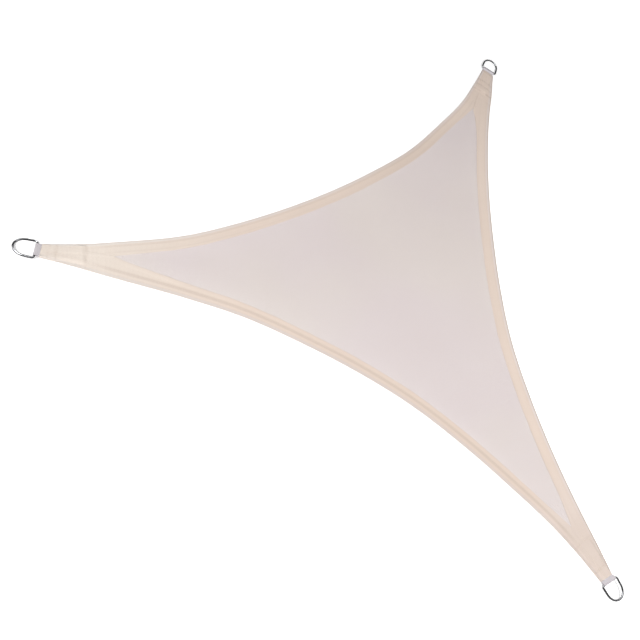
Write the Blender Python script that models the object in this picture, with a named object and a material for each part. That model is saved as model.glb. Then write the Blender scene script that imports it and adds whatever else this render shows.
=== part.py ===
"""Triangular shade sail, lying spread out on a flat surface.

One cut of knitted shade cloth with hemmed, inward-curving sides. At each
corner a webbing strap is folded round the bar of a steel D-ring, and its
tail runs into the neck of the cloth. Metres, +Z up, underside at z = 0,
and the sail's centre at the origin.
"""

import math
from collections import namedtuple

import bmesh
import bpy
import numpy as np

MM = 0.001

# Where each D-ring's bar stands (distance and bearing from the sail's centre),
# how far in from it the two hems part, and how far the ring is turned in its
# strap, counter-clockwise from above.
Corner = namedtuple("Corner", "name reach bearing_deg hems_part ring_turn_deg")
CORNERS = (
    Corner("right", 1.150, -60.1, 0.195, -10.0),
    Corner("top", 1.140, 60.6, 0.235, 5.0),
    Corner("left", 1.155, 179.4, 0.185, 0.0),
)

# Each side runs counter-clockwise from one corner to the next. Its curve is an
# arc of this depth, plus the unevenness of the sewn edge at UNEVEN_AT, in
# millimetres towards the middle of the sail.
UNEVEN_AT = (0, 0.05, 0.1, 0.2, 0.3, 0.4, 0.5, 0.6, 0.7, 0.8, 0.9, 0.95, 1)
Side = namedtuple("Side", "start end depth hem uneven_mm")
SIDES = (
    Side("right", "top", 0.180, 0.050, (0, -6, -4, 3, 10, 15, 8, 0, -4, -6, -7, -8, 0)),
    Side("top", "left", 0.218, 0.041, (0, 1, 5, 0, 2, -6, -9, -8, -2, 7, 5, 7, 0)),
    Side("left", "right", 0.195, 0.042, (0, -8, -13, -8, 2, 3, 7, 9, 4, 0, 3, 1, 0)),
)

# Cloth
FIELD_TOP = 1.5 * MM
NECK_HALF = 25 * MM
NECK_START = 13 * MM  # the cloth's end, measured inwards from the ring's bar
FIELD_COLUMNS = 34
HEM_EASE = 150 * MM  # stretch over which a hem narrows from the corner to its own width

# The hem's top, from the outer edge inwards: a rolled edge, a flat band, the
# valley that the stitches pull down, and the turned-in fold that stands up.
HemLevel = namedtuple("HemLevel", "from_edge from_fold height")
HEM_LEVELS = (
    HemLevel(0, None, 1.6 * MM),
    HemLevel(2.5 * MM, None, 2.8 * MM),
    HemLevel(None, 14 * MM, 2.2 * MM),
    HemLevel(None, 5 * MM, 3.0 * MM),
    HemLevel(None, 0, FIELD_TOP),
)
NECK_FLAT = 2.8 * MM

# The neck's top over the strap's tail, from the outer edge to the centre line
NeckLevel = namedtuple("NeckLevel", "across height")
NECK_LEVELS = (
    NeckLevel(None, 1.6 * MM),
    NeckLevel(24.1 * MM, 2.8 * MM),
    NeckLevel(23.5 * MM, 5.2 * MM),
    NeckLevel(21.6 * MM, 5.6 * MM),
    NeckLevel(0, 5.6 * MM),
)
LIP_DROP = 0.4 * MM
LIP_LENGTH = 3 * MM
PAD_END = 127 * MM
PAD_FOOT = 138 * MM
PAD_ROWS = (38 * MM, 68 * MM, 98 * MM)  # rows of points along the pad
APEX_STEP = 6 * MM
WELD = 0.01 * MM  # points closer than this are one point

# Strap
STRAP_HALF = 22 * MM
STRAP_THICK = 1.3 * MM
TAIL_END = 124 * MM
MOUTH = 12.5 * MM  # where the two layers lie flat on each other
WRAP_STEPS = 14

# D-ring
WIRE = 3 * MM  # radius
BAR_HALF = 29 * MM
BOW_HALF = 27.5 * MM
BOW_START = 28 * MM
RING_DEPTH = 57 * MM
CORNER_RADIUS = 6 * MM
CORNER_STEPS = 4
BOW_STEPS = 16
WIRE_SIDES = 12

GAP = 0.3 * MM
WRAP_RADIUS = WIRE + GAP + STRAP_THICK / 2
BAR_HEIGHT = WRAP_RADIUS + STRAP_THICK / 2
POCKET_FLOOR = 1.0 * MM
POCKET_ROOF = 4.6 * MM
POCKET_OVERRUN = 6 * MM  # how far the slot's cutter stands out of the neck's end
LOWER_LAYER = POCKET_FLOOR + GAP + STRAP_THICK / 2
UPPER_LAYER = POCKET_ROOF - GAP - STRAP_THICK / 2


def clear_scene():
    for obj in list(bpy.data.objects):
        bpy.data.objects.remove(obj, do_unlink=True)


def material(name, colour, roughness, metallic=0.0):
    mat = bpy.data.materials.new(name)
    mat.use_nodes = True
    shader = mat.node_tree.nodes["Principled BSDF"]
    shader.inputs["Base Color"].default_value = (*colour, 1)
    shader.inputs["Roughness"].default_value = roughness
    shader.inputs["Metallic"].default_value = metallic
    return mat


def cloth_material():
    return material("sail_cloth", (0.79, 0.66, 0.56), 0.85)


def strap_material():
    return material("strap_webbing", (0.62, 0.59, 0.64), 0.75)


def ring_material():
    return material("polished_steel", (0.62, 0.62, 0.63), 0.15, 1.0)


def add_object(name, mesh, mat, parent=None):
    mesh.materials.append(mat)
    obj = bpy.data.objects.new(name, mesh)
    bpy.context.collection.objects.link(obj)
    obj.parent = parent
    return obj


class CornerFrame:
    """A corner's own axes: inwards from the ring's bar, and across it."""

    def __init__(self, corner):
        bearing = math.radians(corner.bearing_deg)
        out = np.array([math.cos(bearing), math.sin(bearing)])
        self.bar = corner.reach * out
        self.inward = -out
        self.across = np.array([-out[1], out[0]])
        self.bearing = bearing
        self.apex = corner.hems_part

    def point(self, along, across=0.0):
        return self.bar + self.inward * along + self.across * across

    def along_of(self, points):
        return (points - self.bar) @ self.inward

    def across_of(self, points):
        return (points - self.bar) @ self.across


FRAMES = {corner.name: CornerFrame(corner) for corner in CORNERS}


def smooth_between(stations, values, at):
    """Cubic curve through the values, with no overshoot worth the name."""
    slopes = np.gradient(values, stations)
    k = np.clip(np.searchsorted(stations, at, side="right") - 1, 0, len(stations) - 2)
    width = stations[k + 1] - stations[k]
    t = (at - stations[k]) / width
    return (
        (2 * t**3 - 3 * t**2 + 1) * values[k]
        + (t**3 - 2 * t**2 + t) * width * slopes[k]
        + (3 * t**2 - 2 * t**3) * values[k + 1]
        + (t**3 - t**2) * width * slopes[k + 1]
    )


class SideCurve:
    """One side of the sail, as a dense curve with its inward normals."""

    STEPS = 600

    def __init__(self, side):
        self.side = side
        self.first = FRAMES[side.start]
        self.last = FRAMES[side.end]
        start = self.first.point(NECK_START, NECK_HALF)
        end = self.last.point(NECK_START, -NECK_HALF)
        chord = end - start
        length = np.linalg.norm(chord)
        inward = np.array([-chord[1], chord[0]]) / length
        radius = (length**2 / 4 + side.depth**2) / (2 * side.depth)
        self.share = np.linspace(0, 1, self.STEPS + 1)
        x = (self.share - 0.5) * length
        rise = np.sqrt(radius**2 - x**2) - (radius - side.depth)
        uneven = np.array(side.uneven_mm) * MM
        rise = rise + smooth_between(np.array(UNEVEN_AT), uneven, self.share)
        self.points = start + np.outer(self.share, chord) + np.outer(rise, inward)
        slope = np.gradient(self.points, axis=0)
        slope /= np.linalg.norm(slope, axis=1)[:, None]
        self.normals = np.stack([-slope[:, 1], slope[:, 0]], axis=1)
        self.folds = self.points + self.normals * side.hem

    def at(self, share, of):
        return np.array([np.interp(share, self.share, of[:, i]) for i in (0, 1)])

    def half_towards(self, frame, values):
        """The values from one corner's end of the side up to its middle."""
        order = slice(None) if frame is self.first else slice(None, None, -1)
        return values[order][: self.STEPS // 2]

    def share_at_neck(self, frame, along):
        """Share of the side at which it stands this far in from a corner's bar."""
        reach = frame.along_of(self.half_towards(frame, self.points))
        return np.interp(along, reach, self.half_towards(frame, self.share))

    def fold_at(self, share):
        """The hem's inner fold, wider near a corner so that the two hems meet there."""
        fold = self.at(share, self.folds)
        for frame in (self.first, self.last):
            beyond = (frame.along_of(fold) - frame.apex) / HEM_EASE
            if beyond < 1:
                folds = self.half_towards(frame, self.folds)
                spare = np.interp(frame.apex, frame.along_of(folds), frame.across_of(folds))
                fold = fold - frame.across * spare * (1 - max(beyond, 0)) ** 2
        return fold


def neck_rows(apex):
    """Distances in from the bar at which the neck has a row of points."""
    return (
        NECK_START, NECK_START + LIP_LENGTH, *PAD_ROWS,
        PAD_END, PAD_FOOT, (PAD_FOOT + apex) / 2, apex - APEX_STEP,
    )


def neck_column(curve, frame, along):
    """Points of one row of a neck, from the outer edge to the centre line."""
    share = curve.share_at_neck(frame, along)
    edge = curve.at(share, curve.points)
    sign = 1 if frame is curve.first else -1
    width = sign * frame.across_of(edge)
    flat = along >= PAD_FOOT
    drop = LIP_DROP if along == NECK_START else 0
    column = []
    for level in NECK_LEVELS:
        across = width if level.across is None else level.across
        spot = edge if level.across is None else frame.point(along, sign * across)
        height = min(level.height, NECK_FLAT) if flat else level.height
        column.append((*spot, height - drop if level.height > NECK_FLAT else height))
    return column


def hem_column(edge, fold):
    """Points across the hem, from the outer edge to the field."""
    hem = np.linalg.norm(fold - edge)
    column = []
    for level in HEM_LEVELS:
        from_edge = level.from_edge if level.from_fold is None else hem - level.from_fold
        spot = edge + (fold - edge) * from_edge / hem
        column.append((*spot, level.height))
    return column


def side_columns(curve):
    """All rows of points of one side, neck to neck."""
    first, last = curve.first, curve.last
    columns = [neck_column(curve, first, along) for along in neck_rows(first.apex)]
    from_share = curve.share_at_neck(first, first.apex)
    to_share = curve.share_at_neck(last, last.apex)
    for share in np.linspace(from_share, to_share, FIELD_COLUMNS):
        fold = curve.fold_at(share)
        if share == from_share:
            fold = first.point(first.apex)
        if share == to_share:
            fold = last.point(last.apex)
        columns.append(hem_column(curve.at(share, curve.points), fold))
    rows = reversed(neck_rows(last.apex))
    return columns + [neck_column(curve, last, along) for along in rows]


def cloth_mesh():
    """The cloth as one closed solid: flat underside, hem, necks and field."""
    bm = bmesh.new()
    rim, field = [], []
    for side in SIDES:
        columns = side_columns(SideCurve(side))
        grid = [[bm.verts.new(spot) for spot in column] for column in columns]
        for here, there in zip(grid, grid[1:]):
            for k in range(len(here) - 1):
                bm.faces.new((here[k], there[k], there[k + 1], here[k + 1]))
        neck = len(neck_rows(0))
        rim.append(grid)
        field += [column[-1] for column in grid[neck:-neck]][:-1]
    bm.faces.new(field)

    ground = []
    for grid in rim:
        ground.append([bm.verts.new((*column[0].co.xy, 0)) for column in grid])
        for k in range(len(grid) - 1):
            low, high = ground[-1], grid
            bm.faces.new((low[k], low[k + 1], high[k + 1][0], high[k][0]))
    for k in range(len(rim)):
        close_neck(bm, rim[k][-1], rim[(k + 1) % 3][0], ground[k][-1], ground[(k + 1) % 3][0])
    bm.faces.new([vert for row in ground for vert in row][::-1])

    bmesh.ops.remove_doubles(bm, verts=bm.verts, dist=WELD)
    bmesh.ops.triangulate(bm, faces=bm.faces)
    bmesh.ops.recalc_face_normals(bm, faces=bm.faces)
    mesh = bpy.data.meshes.new("sail_cloth")
    bm.to_mesh(mesh)
    bm.free()
    return mesh


def close_neck(bm, before, after, low_before, low_after):
    """The upright end face of a neck, from one side's edge to the next's."""
    top = before + after[::-1][1:]
    bm.faces.new([low_before, low_after] + top[::-1])


def pocket_cutter(corner, parent):
    """Box that cuts the slot for the strap's tail into a neck."""
    near = NECK_START - POCKET_OVERRUN
    far = TAIL_END + GAP
    bm = bmesh.new()
    bmesh.ops.create_cube(bm, size=1)
    for vert in bm.verts:
        vert.co.x = -(near + (far - near) * (vert.co.x + 0.5))
        vert.co.y *= 2 * (STRAP_HALF + GAP)
        vert.co.z = POCKET_FLOOR + (POCKET_ROOF - POCKET_FLOOR) * (vert.co.z + 0.5)
    bmesh.ops.recalc_face_normals(bm, faces=bm.faces)
    mesh = bpy.data.meshes.new("pocket_" + corner.name)
    bm.to_mesh(mesh)
    bm.free()
    cutter = bpy.data.objects.new("pocket_" + corner.name, mesh)
    bpy.context.collection.objects.link(cutter)
    cutter.parent = parent
    cutter.hide_render = True
    cutter.display_type = "WIRE"
    return cutter


def build_cloth(anchors):
    cloth = add_object("sail_cloth", cloth_mesh(), cloth_material())
    for corner in CORNERS:
        slot = cloth.modifiers.new("pocket_" + corner.name, "BOOLEAN")
        slot.operation = "DIFFERENCE"
        slot.solver = "EXACT"
        slot.object = pocket_cutter(corner, anchors[corner.name])


def tangent_angle(along, height, side):
    """Bearing at which the line from a point touches the circle round the bar."""
    to_point = math.atan2(height, along)
    spread = math.acos(WRAP_RADIUS / math.hypot(along, height))
    return to_point + side * spread


def strap_path():
    """Middle line of the webbing: (inwards from the bar, height) along one fold."""
    low = tangent_angle(MOUTH, LOWER_LAYER - BAR_HEIGHT, -1)
    high = tangent_angle(MOUTH, UPPER_LAYER - BAR_HEIGHT, 1)
    path = [(TAIL_END, LOWER_LAYER), (MOUTH, LOWER_LAYER)]
    for k in range(WRAP_STEPS + 1):
        turn = low + (high - 2 * math.pi - low) * k / WRAP_STEPS
        height = BAR_HEIGHT + WRAP_RADIUS * math.sin(turn)
        path.append((WRAP_RADIUS * math.cos(turn), height))
    return path + [(MOUTH, UPPER_LAYER), (TAIL_END, UPPER_LAYER)]


def band_outline(path, thick):
    """Closed outline of a band of even thickness along a path."""
    pts = np.array(path)
    slope = np.gradient(pts, axis=0)
    steps = np.diff(pts, axis=0)
    steps /= np.linalg.norm(steps, axis=1)[:, None]
    slope[0], slope[-1] = steps[0], steps[-1]
    slope[1:-1] = steps[:-1] + steps[1:]
    slope /= np.linalg.norm(slope, axis=1)[:, None]
    normal = np.stack([-slope[:, 1], slope[:, 0]], axis=1)
    return np.vstack([pts + normal * thick / 2, (pts - normal * thick / 2)[::-1]])


def build_strap(corner, parent):
    """Webbing folded round the bar, skewed towards the way its ring is turned."""
    outline = band_outline(strap_path(), STRAP_THICK)
    skew = math.tan(math.radians(corner.ring_turn_deg))
    bm = bmesh.new()
    edges = []
    for across in (-STRAP_HALF, STRAP_HALF):
        row = []
        for along, height in outline:
            hold = min(max((MOUTH - along) / MOUTH, 0), 1)
            row.append(bm.verts.new((-along - across * skew * hold, across, height)))
        edges.append(row)
    count = len(outline)
    for k in range(count):
        m = (k + 1) % count
        bm.faces.new((edges[0][k], edges[0][m], edges[1][m], edges[1][k]))
    bm.faces.new(edges[0])
    bm.faces.new(edges[1][::-1])
    bmesh.ops.recalc_face_normals(bm, faces=bm.faces)
    mesh = bpy.data.meshes.new("strap_" + corner.name)
    bm.to_mesh(mesh)
    bm.free()
    add_object("strap_" + corner.name, mesh, strap_material(), parent)


def ring_path():
    """Middle line of the wire: straight bar, two short legs and a round bow."""
    r = CORNER_RADIUS
    upper = [(0, 0)]
    for k in range(CORNER_STEPS + 1):
        turn = math.pi / 2 * k / CORNER_STEPS
        upper.append((r - r * math.cos(turn), BAR_HALF - r + r * math.sin(turn)))
    bow = []
    for k in range(BOW_STEPS + 1):
        turn = math.pi / 2 - math.pi * k / BOW_STEPS
        x = BOW_START + (RING_DEPTH - BOW_START) * math.cos(turn)
        bow.append((x, BOW_HALF * math.sin(turn)))
    lower = [(x, -y) for x, y in upper[:0:-1]]
    return np.array(upper + bow + lower)


def ring_mesh():
    """Round wire swept along the D, bar along local Y and bow towards +X."""
    path = ring_path()
    slope = np.roll(path, -1, axis=0) - np.roll(path, 1, axis=0)
    slope /= np.linalg.norm(slope, axis=1)[:, None]
    bm = bmesh.new()
    rings = []
    for (x, y), (dx, dy) in zip(path, slope):
        row = []
        for k in range(WIRE_SIDES):
            turn = 2 * math.pi * k / WIRE_SIDES
            side, up = WIRE * math.cos(turn), WIRE * math.sin(turn)
            row.append(bm.verts.new((x + side * dy, y - side * dx, up)))
        rings.append(row)
    for here, there in zip(rings, rings[1:] + rings[:1]):
        for k in range(WIRE_SIDES):
            m = (k + 1) % WIRE_SIDES
            bm.faces.new((here[k], here[m], there[m], there[k]))
    bmesh.ops.recalc_face_normals(bm, faces=bm.faces)
    mesh = bpy.data.meshes.new("d_ring")
    bm.to_mesh(mesh)
    bm.free()
    mesh.shade_smooth()
    return mesh


def build_ring(corner, mesh, parent):
    """Ring lying in its strap: the bar held up by the strap, the bow on the ground."""
    ring = bpy.data.objects.new("ring_" + corner.name, mesh)
    bpy.context.collection.objects.link(ring)
    ring.parent = parent
    ring.location.z = BAR_HEIGHT
    droop = math.asin((BAR_HEIGHT - WIRE) / RING_DEPTH)
    ring.rotation_euler = (0, droop, math.radians(corner.ring_turn_deg))


def corner_anchor(corner):
    """Empty at a ring's bar, with its X axis pointing out of the sail."""
    frame = FRAMES[corner.name]
    anchor = bpy.data.objects.new("corner_" + corner.name, None)
    bpy.context.collection.objects.link(anchor)
    anchor.location = (*frame.bar, 0)
    anchor.rotation_euler = (0, 0, frame.bearing)
    return anchor


def main():
    clear_scene()
    anchors = {corner.name: corner_anchor(corner) for corner in CORNERS}
    build_cloth(anchors)
    wire = ring_mesh()
    wire.materials.append(ring_material())
    for corner in CORNERS:
        build_strap(corner, anchors[corner.name])
        build_ring(corner, wire, anchors[corner.name])


main()
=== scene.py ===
import math
import random

import bmesh
import bpy
import numpy as np
from mathutils import Matrix, Vector
from mathutils.bvhtree import BVHTree


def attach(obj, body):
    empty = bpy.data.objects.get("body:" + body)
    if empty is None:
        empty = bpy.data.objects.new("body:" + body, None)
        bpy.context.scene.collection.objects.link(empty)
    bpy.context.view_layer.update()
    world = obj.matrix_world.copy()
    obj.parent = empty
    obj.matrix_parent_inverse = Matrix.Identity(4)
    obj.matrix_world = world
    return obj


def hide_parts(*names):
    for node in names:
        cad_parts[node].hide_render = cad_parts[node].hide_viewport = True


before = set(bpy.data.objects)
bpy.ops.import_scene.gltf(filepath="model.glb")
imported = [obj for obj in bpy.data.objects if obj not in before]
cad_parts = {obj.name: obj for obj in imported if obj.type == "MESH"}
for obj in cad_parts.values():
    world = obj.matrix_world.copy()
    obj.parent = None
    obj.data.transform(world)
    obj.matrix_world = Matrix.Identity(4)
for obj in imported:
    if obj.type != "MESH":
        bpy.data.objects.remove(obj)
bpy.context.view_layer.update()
mm = 0.001
print("frame loaded:", len(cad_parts), "nodes")

# The sail's plan, shared by its pieces

# Each ring's bar stands this far out, at this bearing, and the ring is turned
# from it. The two hems part hemsPart in from the bar and bend over the next
# hemEase. A neck's end drifts sideways and rolls with its ring, one side up.
# crossRows are the rows sewn across the neck, slanting by lean, each with how
# many millimetres the cloth puffs up between it and the next one and how much
# painted shade its valley gets. crest says how much painted shade the
# webbing gets where it bends, loopHalf half its width there, tone how much
# painted shade the neck gets, below 0 how much painted light, and blush how
# much of the rolled edge's rosy grey it has.
corners = {
    "right": {
        "reach": 1.148, "bearing": -60.1, "hemsPart": 0.195, "hemEase": 0.15, "ringTurn": -5.0,
        "roll": 8.0, "drift": -0.0045, "lean": 0.06,
        "tone": 0.38, "blush": 0.42, "crest": 0.1, "loopHalf": 0.0243,
        "crossRows": ((0.046, 0.2, 0.6), (0.080, 0.25, 0.2), (0.142, 0, 0.3)),
    },
    "top": {
        "reach": 1.138, "bearing": 60.6, "hemsPart": 0.235, "hemEase": 0.15, "ringTurn": 1.0,
        "roll": 0.0, "drift": 0.0020, "lean": -0.02,
        "tone": 0.22, "blush": 0, "crest": 0.95, "loopHalf": 0.0243,
        "crossRows": (
            (0.021, 0.3, 1.0), (0.073, 0.6, 0.9), (0.101, 0.7, 1.0),
            (0.130, 0.4, 1.1), (0.168, 0, 0.2),
        ),
    },
    "left": {
        "reach": 1.154, "bearing": 179.4, "hemsPart": 0.212, "hemEase": 0.28, "ringTurn": -10.0,
        "roll": 11.0, "drift": 0.0055, "lean": 0.05,
        "tone": -0.4, "blush": 0.1, "crest": 0.05, "loopHalf": 0.0205,
        "crossRows": ((0.034, 1.0, 0.3), (0.055, 0.3, 0.5), (0.137, 0, 0.4)),
    },
}

# Sides run counter-clockwise. The edge is an arc of this depth plus the
# unevenness of the sewn edge, in millimetres towards the middle. The hem is
# some millimetres wider at its two ends, and over says in which necks it lies
# over the other side's hem. Lip, pillow and curl are heights in millimetres: of
# the rolled edge, of the hem between its rows and of its free fold, which tuck
# makes thicker. The rolled edge's rosy grey goes greyBand in, and rim is
# how much painted shade the rolled edge gets, and to how many millimetres in. A
# row has its place, how much painted shade its valley gets and the valley's
# reach in millimetres. Tone is how much painted shade the hem gets at five
# places along it, below 0 how much painted light.
unevenAt = (0, 0.05, 0.1, 0.2, 0.3, 0.4, 0.5, 0.6, 0.7, 0.8, 0.9, 0.95, 1)
toneAt = (0.12, 0.3, 0.5, 0.7, 0.88)
sides = {
    "rightToTop": {
        "ends": ("right", "top"), "depth": 0.180, "hem": 0.050, "wider": (0, 0),
        "uneven": (0, -6, -4, 3, 10, 15, 8, 0, -4, -6, -7, -8, -3),
        "rows": ((0.016, 0.35, 1.8), (0.044, 0.3, 1.8)),
        "greyBand": 0.012, "over": (False, True),
        "lip": 0.12, "pillow": 0.15, "curl": 0.15, "tuck": 0.35, "rim": (1.45, 6.4),
        "tone": (0.1, 0, 0.04, 0, 0.12),
    },
    "topToLeft": {
        "ends": ("top", "left"), "depth": 0.218, "hem": 0.041, "wider": (0, 1),
        "uneven": (0, 1, 5, 0, 2, -6, -9, -8, -2, 7, 5, 7, 0),
        "rows": ((0.013, 0.5, 3.0), (0.034, 0.35, 1.8)),
        "greyBand": 0.009, "over": (False, False),
        "lip": 0.45, "pillow": 0.0, "curl": 0.15, "tuck": 0.7, "rim": (0.3, 6.5),
        "tone": (0, 0.38, 0.1, 0, -0.32),
    },
    "leftToRight": {
        "ends": ("left", "right"), "depth": 0.195, "hem": 0.0435, "wider": (4.5, 0),
        "uneven": (0, -8, -13, -8, 2, 3, 7, 9, 4, 0, 3, 1, 0),
        "rows": ((0.011, 0.3, 1.8), (0.025, 0.75, 5.0)),
        "greyBand": 0.010, "over": (True, True),
        "lip": 0.0, "pillow": 0.0, "curl": 0.0, "tuck": 0.8, "rim": (0.38, 13),
        "tone": (-0.3, 0, 0.1, 0.2, 0.15),
    },
}

# A neck's places, in from the ring's bar. A pair is where a change starts and ends.
neck = {
    "half": 25 * mm,  # half its width
    "start": 13 * mm,  # where the cloth ends
    "fieldTip": 45 * mm,  # where the field, the cloth between the hems, ends
    "rowsStart": 22 * mm,
    "square": (15 * mm, 120 * mm),  # sections turn from across it to square to the edge
    "held": (5 * mm, 130 * mm),  # it stops drifting and rolling with its ring
    "turned": (10 * mm, 70 * mm),  # it stops turning with its ring
    "rowsDeepen": (140 * mm, 230 * mm),  # the painted shade of the hems' own rows grows
    "toneEnd": (150 * mm, 260 * mm),  # the hems' own tone takes over
    "blushEnd": (200 * mm, 420 * mm),
}

# How wide the hems are, beyond what each side says
hemWidth = {
    "wider": ((0.15, 0.4), (0.6, 0.85)),  # shares of the side where its ends' extra fades
    "shortBy": 4 * mm,  # an upper hem stops this far from a neck's other edge
    "lapOver": 3 * mm,  # a lower hem passes the neck's middle by this much
    "lapShare": 0.15,  # of the neck, along which it does so
    "blur": (20, 7),  # steps to each side and spread of the average that rounds it
}

# What varies along the cloth: its middle, its swing and its longest wave in metres
unevenness = {
    "fold": (0, 0.7 * mm, 0.21),
    "stitching": (0, 0.35 * mm, 0.17),
    "lip": (0.8, 0.3, 0.3),
    "pillow": (1, 0.3, 0.24),
    "curl": (0.75, 0.5, 0.16),
    "pucker": (1, 1, 0.055),
    "puff": (1, 0.25, 0.06),
    "crease": (0.7, 0.3, 0.05),
}


def ease(value, low, high):
    t = np.clip((value - low) / (high - low), 0, 1)
    return t * t * (3 - 2 * t)


def bell(away, reach):
    return np.exp(-((away / reach) ** 2))


def ripple(at, seed, longest):
    # smooth unevenness from about -1 to 1, the same each run
    dice = random.Random(seed)
    total = np.zeros_like(np.asarray(at, float))
    for k in range(5):
        wave = longest / (1 + 0.7 * k)
        total += np.sin(2 * math.pi * (at / wave + dice.random())) / (1 + 0.5 * k)
    return total / 2.4


def uneven(feature, at, seed):
    middle, swing, longest = unevenness[feature]
    return middle + swing * ripple(at, seed, longest)


class Corner:
    # finds places by how far in from the ring's bar and across the neck they are
    def __init__(self, spec):
        turn = math.radians(spec["bearing"])
        out = np.array([math.cos(turn), math.sin(turn)])
        self.spec = spec
        self.turn = turn
        self.bar = spec["reach"] * out
        self.inward = -out
        self.across = np.array([-out[1], out[0]])
        self.apex = spec["hemsPart"]
        self.lift = 0.0

    def point(self, along, across=0.0):
        inwards = np.multiply.outer(along, self.inward)
        return self.bar + inwards + np.multiply.outer(across, self.across)

    def alongOf(self, points):
        return (points - self.bar) @ self.inward

    def acrossOf(self, points):
        return (points - self.bar) @ self.across


places = {name: Corner(spec) for name, spec in corners.items()}


class Side:
    # one edge of the sail as a dense curve, with its hem's width all along
    steps = 1600

    def __init__(self, name, spec):
        self.name, self.spec = name, spec
        self.ends = [places[end] for end in spec["ends"]]
        first, last = self.ends
        start = first.point(neck["start"], neck["half"])
        end = last.point(neck["start"], -neck["half"])
        chord = end - start
        length = np.linalg.norm(chord)
        inward = np.array([-chord[1], chord[0]]) / length
        depth = spec["depth"]
        radius = (length**2 / 4 + depth**2) / (2 * depth)
        self.share = np.linspace(0, 1, self.steps + 1)
        x = (self.share - 0.5) * length
        rise = np.sqrt(radius**2 - x**2) - (radius - depth)
        rise += self.smooth(np.array(spec["uneven"]) * mm)
        self.edge = start + np.outer(self.share, chord) + np.outer(rise, inward)
        slope = np.gradient(self.edge, axis=0)
        step = np.linalg.norm(slope, axis=1)
        slope /= step[:, None]
        self.run = np.concatenate([[0], np.cumsum((step[1:] + step[:-1]) / 2)])
        self.tangent = slope
        self.normal = np.stack([-slope[:, 1], slope[:, 0]], axis=1)
        self.section = self.sections()
        self.width = self.widths()

    def smooth(self, values):
        # a smooth curve through the values at unevenAt
        at = np.array(unevenAt)
        slopes = np.gradient(values, at)
        k = np.clip(np.searchsorted(at, self.share, side="right") - 1, 0, len(at) - 2)
        span = at[k + 1] - at[k]
        t = (self.share - at[k]) / span
        return (
            (2 * t**3 - 3 * t**2 + 1) * values[k]
            + (t**3 - 2 * t**2 + t) * span * slopes[k]
            + (3 * t**2 - 2 * t**3) * values[k + 1]
            + (t**3 - t**2) * span * slopes[k + 1]
        )

    def sections(self):
        # straight across the neck at its end, square to the edge further in
        turned = self.normal.copy()
        for corner, sign in zip(self.ends, (-1, 1)):
            keep = ease(corner.alongOf(self.edge), *neck["square"])[:, None]
            turned = turned * keep + sign * corner.across * (1 - keep)
        return turned / np.linalg.norm(turned, axis=1)[:, None]

    def half(self, which, values):
        # the half next to one of its ends, from that end on
        half = self.steps // 2
        return values[:half] if which == 0 else values[::-1][:half]

    def widths(self):
        # the fold follows the edge, and bends to the middle of each neck
        first, last = self.spec["wider"]
        nearFirst, nearLast = hemWidth["wider"]
        hem = self.spec["hem"] + first * mm * (1 - ease(self.share, *nearFirst))
        hem = hem + last * mm * ease(self.share, *nearLast)
        fold = self.edge + self.normal * hem[:, None]
        for which, corner in enumerate(self.ends):
            beyond = (corner.alongOf(fold) - corner.apex) / corner.spec["hemEase"]
            near = self.half(which, fold)
            spare = np.interp(corner.apex, corner.alongOf(near), corner.acrossOf(near))
            bend = np.where(beyond < 1, (1 - np.clip(beyond, 0, 1)) ** 2, 0)
            fold = fold - np.outer(spare * bend, corner.across)
        # read back as a distance from the edge
        slip = np.sum((fold - self.edge) * self.tangent, axis=1)
        deep = np.sum((fold - self.edge) * self.normal, axis=1)
        order = np.argsort(self.run + slip)
        width = np.interp(self.run, (self.run + slip)[order], deep[order])
        for which, (corner, over) in enumerate(zip(self.ends, self.spec["over"])):
            along = corner.alongOf(self.edge)
            reach = np.abs(corner.acrossOf(self.edge))
            atApex = np.interp(corner.apex, self.half(which, along), self.half(which, reach))
            back = np.clip((corner.apex - along) / (corner.apex - neck["start"]), 0, 1)
            if over:
                lapped = atApex + (2 * neck["half"] - hemWidth["shortBy"] - atApex) * back
            else:
                lapped = reach + hemWidth["lapOver"] * ease(back, 0, hemWidth["lapShare"])
            width = np.where(along < corner.apex, lapped, width)
        steps, spread = hemWidth["blur"]
        blur = np.exp(-0.5 * (np.arange(-steps, steps + 1) / spread) ** 2)
        padded = np.pad(width, steps, mode="edge")
        width = np.convolve(padded, blur / blur.sum(), mode="valid")
        return width + uneven("fold", self.run, self.name + "fold")

    def at(self, share, values):
        if values.ndim == 1:
            return np.interp(share, self.share, values)
        return np.stack([np.interp(share, self.share, values[:, i]) for i in (0, 1)], axis=-1)

    def shareAt(self, which, along):
        # where the edge is this far in from one end's ring
        reach = self.ends[which].alongOf(self.half(which, self.edge))
        return np.interp(along, reach, self.half(which, self.share))


edges = {name: Side(name, spec) for name, spec in sides.items()}

# Materials


class Wire:
    # a socket that can be reckoned with: each sign adds a Math node
    def __init__(self, finish, socket):
        self.finish, self.socket = finish, socket

    def math(self, operation, *feeds):
        return self.finish.add("Math", {"operation": operation}, dict(enumerate(feeds)))

    def __add__(self, other):
        return self.math("ADD", self, other)

    def __sub__(self, other):
        return self.math("SUBTRACT", self, other)

    def __rsub__(self, other):
        return self.math("SUBTRACT", other, self)

    def __mul__(self, other):
        return self.math("MULTIPLY", self, other)

    def __truediv__(self, other):
        return self.math("DIVIDE", self, other)

    __radd__ = __add__
    __rmul__ = __mul__

    def most(self, other):
        return self.math("MAXIMUM", self, other)

    def wave(self):
        # from 1 to 0 and back between one whole number and the next
        return self.math("COSINE", self * (2 * math.pi)) * 0.5 + 0.5

    def zigzag(self):
        return self.math("PINGPONG", self, 0.5) * 2

    def ease(self, low, high):
        settings = {"interpolation_type": "SMOOTHSTEP"}
        feeds = {"Value": self, "From Min": low, "From Max": high}
        return self.finish.add("MapRange", settings, feeds)


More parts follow.
